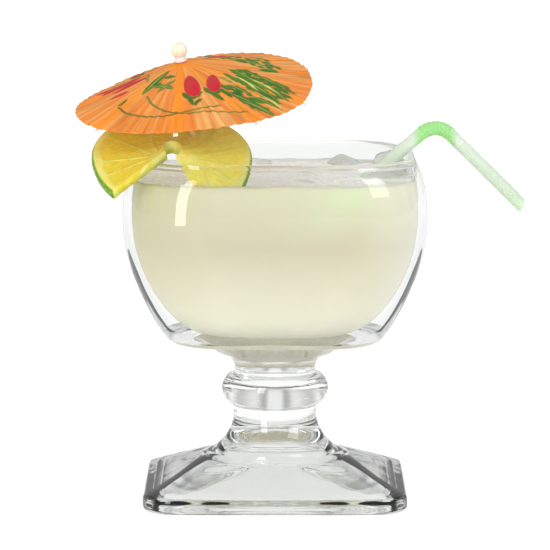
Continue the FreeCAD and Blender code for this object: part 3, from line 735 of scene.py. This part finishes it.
LEAVES = [
    (-17.1, -16.6, -4.8, -4.7, 2.5), (-13.5, -11.7, -3.6, -18.7, 1.7), (-14.2, -7.5, -13.6, 6.4, 1.1), (-11.1, -18.8, -2.5, -12.6, 1.5),
    (-27.4, -18.5, -22.9, -14.6, 1.5), (20.3, -0.5, 31.9, -13.1, 2.1), (23.3, -8.9, 36.7, -21.8, 2.1), (29.2, -9.6, 42.6, -23.6, 2.1),
    (25.8, -1.2, 40.7, -11.0, 1.9), (15.8, -20.4, 27.4, -28.0, 2.1), (20.8, -25.0, 36.1, -37.2, 2.3), (26.9, -21.3, 39.1, -31.2, 1.9),
    (18.4, -14.4, 26.9, -21.3, 1.7), (14.2, -9.2, 20.0, -12.4, 1.1), (5.5, 30.6, 20.3, 11.8, 1.6), (17.3, 17.5, 34.2, 8.2, 1.9),
    (9.7, -21.6, 16.2, -28.8, 1.7), (1.1, -23.7, 3.6, -32.1, 1.3), (4.0, -32.2, 7.4, -27.1, 1.3),
    (22.0, -6.5, 33.5, -16.5, 2.0), (26.5, -14.0, 39.0, -26.0, 2.0), (34.0, -14.5, 43.5, -20.0, 1.7), (17.0, -16.5, 24.0, -22.5, 1.6),
    (24.0, -24.5, 33.0, -33.5, 1.8), (31.0, -18.0, 38.0, -27.0, 1.7), (36.0, -6.0, 43.0, -12.5, 1.5), (29.0, -3.0, 36.0, -8.0, 1.5),
    (-16.0, -13.5, -8.0, -12.0, 1.4), (-8.0, -9.0, -2.5, -10.5, 1.4), (10.0, 20.0, 24.0, 16.0, 1.7), (6.0, 12.0, 15.0, 10.0, 1.2),
    # the far side
    (-12.0, 18.0, -25.0, 27.0, 2.2), (-17.0, 14.5, -31.0, 20.0, 2.1), (-8.0, 24.0, -19.0, 35.0, 2.0), (0.0, 28.0, -6.0, 40.0, 1.8), (26.0, 24.0, 36.0, 16.0, 1.8),
]
PALE = [(21.0, -6.0, 30.0, -17.0, 0.8), (28.0, -7.0, 38.0, -17.0, 0.8), (30.0, -19.0, 38.5, -29.0, 0.8)]
REDS = [(-34.9, 3.6, -12.3, 4.8, 4.6), (-30.2, -1.8, -13.2, -0.6, 3.2), (-31.9, -7.2, -22.3, -7.6, 2.0), (-36.0, 8.0, -18.0, 9.0, 3.0), (8.0, 24.0, 19.0, 30.0, 2.0), (-30.0, 10.0, -38.0, 15.0, 1.6)]
TULIPS = [(3.7, -18.2, 3.3, 7.4, 0.10), (12.4, -15.2, 2.8, 7.1, 0.0), (14.0, 25.0, 2.8, 6.5, 0.7), (-20.0, 30.0, 2.6, 5.6, 0.9)]
VINES = [
    [(-27.2, -19.0), (-23.5, -26.7), (-16.1, -33.3), (-7.1, -36.5), (1.1, -35.6), (8.4, -33.7), (14.5, -32.4)],
    [(-14.9, -18.9), (-12.6, -26.3), (-7.0, -33.7), (1.0, -37.0), (8.3, -36.5), (17.1, -37.0), (25.1, -35.9)],
    [(-34.0, 8.0), (-26.0, 20.0), (-14.0, 26.0), (-2.0, 26.0), (10.0, 33.0)],
]


# two leafy clusters: many short leaves fanned along a line, from (x, y) to (x, y)
for (ax, ay), (bx, by), count, spread, width in (((21.0, -3.0), (40.0, -18.0), 26, 5.5, 2.6), ((3.0, 31.0), (38.0, 6.0), 24, 4.2, 2.6),
                                                ((16.0, -17.0), (33.0, -31.0), 14, 3.6, 2.3), ((-22.0, 26.0), (-2.0, 36.0), 10, 3.5, 2.4)):
    for k in range(count):
        u = (k + 0.5) / count
        across = spread * math.sin(k * 2.399)
        ln = math.hypot(bx - ax, by - ay)
        cx = ax + (bx - ax) * u - (by - ay) / ln * across
        cy = ay + (by - ay) * u + (bx - ax) / ln * across
        heading = math.atan2(by - ay, bx - ax) + 0.75 * math.sin(k * 1.7)
        half = 3.2 + 1.3 * math.sin(k * 0.9)
        LEAVES.append((cx - half * math.cos(heading), cy - half * math.sin(heading), cx + half * math.cos(heading), cy + half * math.sin(heading), width * (0.75 + 0.25 * math.sin(k * 3.1))))


def leaf_mask(x, y, x0, y0, x1, y1, w, soft=0.28):
    dx, dy = x1 - x0, y1 - y0
    ln = math.hypot(dx, dy)
    t = ((x - x0) * dx + (y - y0) * dy) / ln ** 2
    bend = 0.10 * ln * np.sin(np.pi * np.clip(t, 0, 1))
    off = ((x - x0) * -dy + (y - y0) * dx) / ln - bend * 0.5
    half = 1.45 * w / 2 * np.sin(np.pi * np.clip(t, 0, 1)) ** 0.7
    return np.where((t > 0) & (t < 1), smooth(soft, -soft, np.abs(off) - half), 0.0)


def line_mask(x, y, pts, w, soft=0.3):
    best = np.full(x.shape, 1e9)
    for (x0, y0), (x1, y1) in zip(pts[:-1], pts[1:]):
        dx, dy = x1 - x0, y1 - y0
        t = np.clip(((x - x0) * dx + (y - y0) * dy) / (dx * dx + dy * dy), 0, 1)
        best = np.minimum(best, np.hypot(x - x0 - t * dx, y - y0 - t * dy))
    return smooth(soft, -soft, best - w / 2)


def curve(pts, n=10):
    """A smooth line through the points."""
    p = [np.array(q, float) for q in pts]
    p = [2 * p[0] - p[1]] + p + [2 * p[-1] - p[-2]]
    out = []
    for k in range(1, len(p) - 2):
        for t in np.linspace(0, 1, n, endpoint=False):
            a, b, c, d = p[k - 1], p[k], p[k + 1], p[k + 2]
            out.append(tuple(0.5 * ((2 * b) + (c - a) * t + (2 * a - 5 * b + 4 * c - d) * t * t + (3 * b - a - 3 * c + d) * t ** 3)))
    out.append(tuple(p[-2]))
    return out


def build_paper():
    per = 10
    na = PLEATS * per
    up_r = np.concatenate([np.linspace(0, 1, 96)])
    lo_r = np.linspace(1, 0, 10)
    phi = np.arange(na) / na * 2 * math.pi
    # fold line height: straight sides between ridge and valley, a little softened
    ph = (phi * PLEATS / (2 * math.pi)) % 1.0
    tri = 1 - 4 * np.abs(ph - 0.5)           # -1 at whole turns, +1 half way
    fold = np.tanh(2.2 * tri) / math.tanh(2.2) * 0.35 + tri * 0.65
    which = np.floor(phi * PLEATS / (2 * math.pi)).astype(int) % PLEATS
    size = 0.35 + 0.75 * np.random.default_rng(12).random(PLEATS)
    uneven = size[which] * (1 + 0.2 * np.sin(phi * 5 + 1))
    ex = PR * np.cos(phi) + SKEW
    ey = PR * np.sin(phi)
    low = np.zeros(na)
    for middle, spread, drop in ((138.0, 34.0, 3.0), (-30.0, 40.0, 4.5)):
        off = (np.degrees(phi) - middle + 180.0) % 360.0 - 180.0
        low += drop * np.exp(-(off / spread) ** 2)
    reach = np.hypot(ex, ey)
    s0 = HOLE / reach
    rib = np.zeros(na)
    for p in RIB_PHI:
        dphi = (phi - p + math.pi) % (2 * math.pi) - math.pi
        rib = np.maximum(rib, np.exp(-(dphi / 0.075) ** 2))
    verts, fold_v, rib_v, s_v = [], [], [], []
    lx, ly = [], []
    for up, ss in ((1, up_r), (-1, lo_r)):
        for q in ss:
            s = s0 + (1 - s0) * q
            x, y = ex * s, ey * s
            wave = PLEAT / 2 * q * fold * uneven
            sag = -0.25 * np.sin(math.pi * q) * (1 - rib)
            z = -(DROP + low) * s + wave + up * THICK / 2 + sag
            scal = 1 + 0.0015 * q * fold - 0.006 * q * np.abs(np.sin(phi * 9.5 + 0.6))
            for i in range(na):
                p = Vector((x[i] * scal[i], y[i] * scal[i], z[i]))
                verts.append((TILT @ p + APEX) * MM)
            lx.append(x)
            ly.append(y)
            fold_v.append(fold * (0.35 + 0.65 * q))
            rib_v.append(rib * np.ones(na))
            s_v.append(s * np.ones(na))
    n = len(up_r) + len(lo_r)
    faces = rings_to_faces(n, na)
    a, b = (n - 1) * na, 0
    for i in range(na):
        j = (i + 1) % na
        faces.append((a + i, a + j, b + j, b + i))
    o = grid_mesh("pleated_paper", verts, faces)
    x, y = np.concatenate(lx), np.concatenate(ly)
    jit = 0.35 * np.sin(x * 1.9 + 0.7 * y) + 0.25 * np.sin(2.3 * y - x)
    green = np.zeros(x.shape)
    for lf in LEAVES:
        green = np.maximum(green, leaf_mask(x + 0.3 * jit, y + 0.3 * jit, *lf))
    for v in VINES:
        green = np.maximum(green, 0.95 * line_mask(x, y, curve(v), 0.85))
    pale = np.zeros(x.shape)
    for lf in PALE:
        pale = np.maximum(pale, leaf_mask(x, y, *lf))
    # a lighter middle line along each of the first sixteen leaves
    for lf in LEAVES[:16]:
        pale = np.maximum(pale, 0.45 * leaf_mask(x, y, lf[0], lf[1], lf[2], lf[3], 0.35))
    red = np.zeros(x.shape)
    for lf in REDS:
        red = np.maximum(red, leaf_mask(x + 0.3 * jit, y, *lf))
    bright = np.zeros(x.shape)
    for cx, cy, rx, ry, turn in TULIPS:
        u = (x - cx) * math.cos(turn) + (y - cy) * math.sin(turn)
        w = -(x - cx) * math.sin(turn) + (y - cy) * math.cos(turn)
        shape = np.hypot(u / (rx * (1 - 0.18 * w / ry)), w / ry)
        red = np.maximum(red, smooth(1.06, 0.94, shape))
        bright = np.maximum(bright, smooth(1.06, 0.94, shape) * smooth(-0.6, 0.9, u / rx - w / ry))
        for side in (-1, 1):
            bx, by = cx + side * 1.6, cy - ry * 0.80
            green = np.maximum(green, leaf_mask(x, y, cx, cy - ry * 1.25, cx + side * 4.0, cy - ry * 0.55, 2.0))
    # uneven creases with painted shade: some folds get a sharp dark painted shade line, some hardly show
    u = (np.arctan2(y, x - SKEW * np.hypot(x, y) / PR) / (2 * math.pi)) % 1.0
    rad = np.hypot(x, y) / PR
    crease_shade = np.zeros(x.shape)
    for count, amp, seed in ((64, 0.55, 1.0), (128, 0.45, 5.0), (211, 0.35, 9.0)):
        table = np.random.default_rng(int(seed * 10)).random(count)
        k = u * count
        a = np.floor(k).astype(int) % count
        f = k - np.floor(k)
        line = np.exp(-((f - 0.5) / 0.21) ** 2)
        fade = 0.6 + 0.4 * np.sin(rad * (5 + 9 * table[a]) + table[a] * 20)
        crease_shade += amp * line * (table[a] ** 1.6) * fade
    patch = np.zeros(x.shape)
    table = np.random.default_rng(3).random(97)
    k = u * 97
    a = np.floor(k).astype(int) % 97
    f = smooth(0, 1, k - np.floor(k))
    patch = table[a] * (1 - f) + table[(a + 1) % 97] * f
    attribute(o, "crease_shade", np.clip(crease_shade, 0, 1) * smooth(0.04, 0.2, rad))
    attribute(o, "patch", patch)
    attribute(o, "green", green)
    attribute(o, "pale", pale)
    attribute(o, "red", red)
    attribute(o, "bright", bright)
    attribute(o, "fold", np.concatenate(fold_v))
    attribute(o, "rib", np.concatenate(rib_v))
    attribute(o, "out", np.concatenate(s_v))
    flip_if_inside_out(o)
    return o


paper = build_paper()
look = Look("printed_paper")
look.set(Roughness=0.62, Specular_IOR_Level=0.25, Subsurface_Weight=0.25, Subsurface_Scale=0.001)
n1 = look.noise(45, 4.0, 0.6)
n2 = look.noise(700, 3.0, 0.6)
fold, rib, out = look.attr("fold"), look.attr("rib"), look.attr("out")
base = look.mix(look.range(n1, 0.3, 0.7, 0, 1), lin(246, 188, 112), lin(238, 166, 82))
base = look.mix(look.range(look.attr("patch"), 0.25, 0.8, 0, 0.85), base, lin(232, 132, 42))
# painted shade: the pleat valleys are darkened and the ridges are left lighter
base = look.mix(look.range(fold, -1, 1, 0.6, 0.0), base, lin(212, 110, 24))
base = look.mix(look.math("MULTIPLY", rib, 0.85), base, lin(252, 146, 12))
base = look.mix(look.range(out, 0.02, 0.16, 0.7, 0), base, lin(238, 134, 24))
# painted shade: dark brown along the creases
base = look.mix(look.math("MULTIPLY", look.attr("crease_shade"), 1.0), base, lin(126, 54, 10))
base = look.mix(look.attr("green"), base, look.mix(look.range(n1, 0.35, 0.65, 0, 1), lin(78, 124, 30), lin(38, 88, 20)))
base = look.mix(look.attr("red"), base, look.mix(look.attr("bright"), lin(186, 44, 46), lin(196, 20, 40)))
base = look.mix(look.attr("pale"), base, lin(214, 206, 104))
look.color(base)
look.rough(look.range(n2, 0.3, 0.7, 0.5, 0.72))
look.bump(look.math("ADD", n2, look.math("MULTIPLY", look.noise(180, 2.0, 0.5), 0.6)), 0.25, 0.0003)
wear(paper, look)
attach(paper, "root")
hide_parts("parasol_paper")


# ------------------------------------------------------------------ wood and small parts
def wood(name, light, dark, scale, gloss=(0.42, 0.6)):
    look = Look(name)
    look.set(Roughness=0.5, IOR=1.45)
    grain = look.noise(1.0, 4.0, 0.6, look.coords((900, 900, 60)), 0.6)
    blot = look.noise(scale, 3.0, 0.5)
    c = look.mix(look.range(grain, 0.35, 0.65, 0, 1), light, dark)
    c = look.mix(look.range(blot, 0.4, 0.7, 0, 0.4), c, dark)
    look.color(c)
    look.rough(look.range(grain, 0.3, 0.7, *gloss))
    look.bump(grain, 0.2, 0.0002)
    return look


stick_look = wood("birch_stick", lin(236, 206, 150), lin(208, 166, 104), 90)
rib_look = wood("pale_splints", lin(246, 238, 226), lin(226, 208, 184), 140)
bead_look = wood("turned_bead", lin(246, 240, 224), lin(234, 218, 188), 120, (0.3, 0.45))
for name, look in (("stick", stick_look), ("bead", bead_look)):
    wear(NODES[name], look)
for k in range(1, 9):
    wear(NODES["rib_%d" % k], rib_look)
    wear(NODES["strut_%d" % k], rib_look)
look = Look("rolled_paper")
n1 = look.noise(1.0, 3.0, 0.5, look.coords((60, 60, 2600)))
look.set(Roughness=0.7)
look.color(look.mix(look.range(n1, 0.35, 0.65, 0, 1), lin(240, 236, 238), lin(222, 212, 214)))
look.rough(look.range(n1, 0.3, 0.7, 0.6, 0.8))
look.bump(n1, 0.3, 0.0002)
for name in ("collar", "runner"):
    wear(NODES[name], look)

# ------------------------------------------------------------------ table, light and camera
bpy.ops.mesh.primitive_plane_add(size=14, location=(0, 0, -0.0003))
floor = bpy.context.object
floor.name = "floor"
look = Look("white_table")
look.set(Roughness=0.9, Specular_IOR_Level=0.1)
n1 = look.noise(3, 2.0, 0.5)
look.color(look.mix(n1, lin(214, 214, 214), lin(208, 208, 208)))
look.set(Emission_Color=(1, 1, 1, 1))
lp = look.nt.nodes.new("ShaderNodeLightPath")
sep = look.node("ShaderNodeSeparateXYZ")
look.link(look.tc.outputs["Object"], sep.inputs[0])
# painted shade: a dark patch in the floor's glow behind and beside the glass, seen only by rays that are not camera
# rays, standing in for dark surroundings seen in the glass
side = look.math("DIVIDE", look.math("ABSOLUTE", look.math("ARCTAN2", sep.outputs[0], sep.outputs[1])), math.pi)
dark_patch = look.math("MULTIPLY", look.range(side, 0.030, 0.042, 0, 1), look.range(side, 0.10, 0.15, 1, 0))
dark_patch = look.math("MULTIPLY", dark_patch, look.range(sep.outputs[1], 0.25, 0.40, 0, 1))
given = look.range(dark_patch, 0, 1, 0.47, 0.10)
look.link(look.math("ADD", look.math("MULTIPLY", given, look.range(lp.outputs["Is Camera Ray"], 0, 1, 1, 0)),
                    look.range(lp.outputs["Is Camera Ray"], 0, 1, 0, 0.75)), look.p.inputs["Emission Strength"])
wear(floor, look)

world = bpy.data.worlds.new("studio")
bpy.context.scene.world = world
world.use_nodes = True
nt = world.node_tree
nt.nodes.clear()
out = nt.nodes.new("ShaderNodeOutputWorld")
tc = nt.nodes.new("ShaderNodeTexCoord")
sep = nt.nodes.new("ShaderNodeSeparateXYZ")
nt.links.new(tc.outputs["Generated"], sep.inputs[0])


def wmath(op, a, b=None):
    n = nt.nodes.new("ShaderNodeMath")
    n.operation = op
    for k, v in enumerate((a, b)):
        if v is None:
            continue
        if isinstance(v, (int, float)):
            n.inputs[k].default_value = v
        else:
            nt.links.new(v, n.inputs[k])
    return n.outputs[0]


turn = wmath("DIVIDE", wmath("ABSOLUTE", wmath("ARCTAN2", sep.outputs[0], sep.outputs[1])), math.pi)
ramp = nt.nodes.new("ShaderNodeValToRGB")
ramp.color_ramp.interpolation = "EASE"
el = ramp.color_ramp.elements
el[0].position, el[0].color = 0.0, (0.86, 0.86, 0.86, 1)
el[1].position, el[1].color = 1.0, (0.74, 0.74, 0.74, 1)
for pos, v in ((0.02, 0.86), (0.045, 0.42), (0.085, 0.80), (0.18, 0.55), (0.25, 0.88), (0.31, 0.45), (0.355, 0.88), (0.41, 0.46), (0.47, 0.88), (0.53, 0.5), (0.60, 0.76)):
    e = el.new(pos)
    e.color = (v, v, v, 1)
nt.links.new(turn, ramp.inputs[0])
up = nt.nodes.new("ShaderNodeMapRange")
up.inputs["From Min"].default_value = 0.62
up.inputs["From Max"].default_value = 0.85
nt.links.new(sep.outputs[2], up.inputs["Value"])
high = nt.nodes.new("ShaderNodeMapRange")
high.inputs["From Min"].default_value = 0.30
high.inputs["From Max"].default_value = 0.50
high.inputs["To Min"].default_value = 1.0
high.inputs["To Max"].default_value = 0.8
nt.links.new(sep.outputs[2], high.inputs["Value"])
mix = nt.nodes.new("ShaderNodeMix")
mix.data_type = "RGBA"
nt.links.new(up.outputs[0], mix.inputs[0])
dim = nt.nodes.new("ShaderNodeVectorMath")
dim.operation = "SCALE"
nt.links.new(ramp.outputs[0], dim.inputs[0])
nt.links.new(high.outputs[0], dim.inputs["Scale"])
nt.links.new(dim.outputs[0], mix.inputs[6])
mix.inputs[7].default_value = (1.0, 1.0, 1.0, 1)
lp = nt.nodes.new("ShaderNodeLightPath")
mix2 = nt.nodes.new("ShaderNodeMix")
mix2.data_type = "RGBA"
nt.links.new(lp.outputs["Is Camera Ray"], mix2.inputs[0])
nt.links.new(mix.outputs[2], mix2.inputs[6])
mix2.inputs[7].default_value = (1, 1, 1, 1)
bg = nt.nodes.new("ShaderNodeBackground")
nt.links.new(mix2.outputs[2], bg.inputs["Color"])
nt.links.new(bg.outputs[0], out.inputs["Surface"])


def area(name, where, size, power, at=(0, 0, 0.1)):
    d = bpy.data.lights.new(name, "AREA")
    d.shape = "RECTANGLE"
    d.size, d.size_y = size
    d.energy = power
    o = bpy.data.objects.new(name, d)
    bpy.context.scene.collection.objects.link(o)
    o.location = where
    o.rotation_euler = (Vector(at) - Vector(where)).to_track_quat("-Z", "Y").to_euler()
    o.visible_camera = False
    return o


area("window_left", (-0.62, -1.05, 0.42), (0.34, 0.80), 6.0)
area("fill_right", (0.9, -0.7, 0.8), (0.6, 0.6), 4.0)

cam = bpy.data.cameras.new("camera")
cam.sensor_width = 36.0
cam.sensor_fit = "HORIZONTAL"
cam.lens = 4305.65 / 550.0 * 36.0
cam.clip_end = 50
co = bpy.data.objects.new("camera", cam)
bpy.context.scene.collection.objects.link(co)
co.location = (0, -1.7983, 0.32007)
co.rotation_euler = (math.pi / 2 - 0.125582, 0, 0)
bpy.context.scene.camera = co
bpy.context.scene.view_settings.view_transform = "Standard"
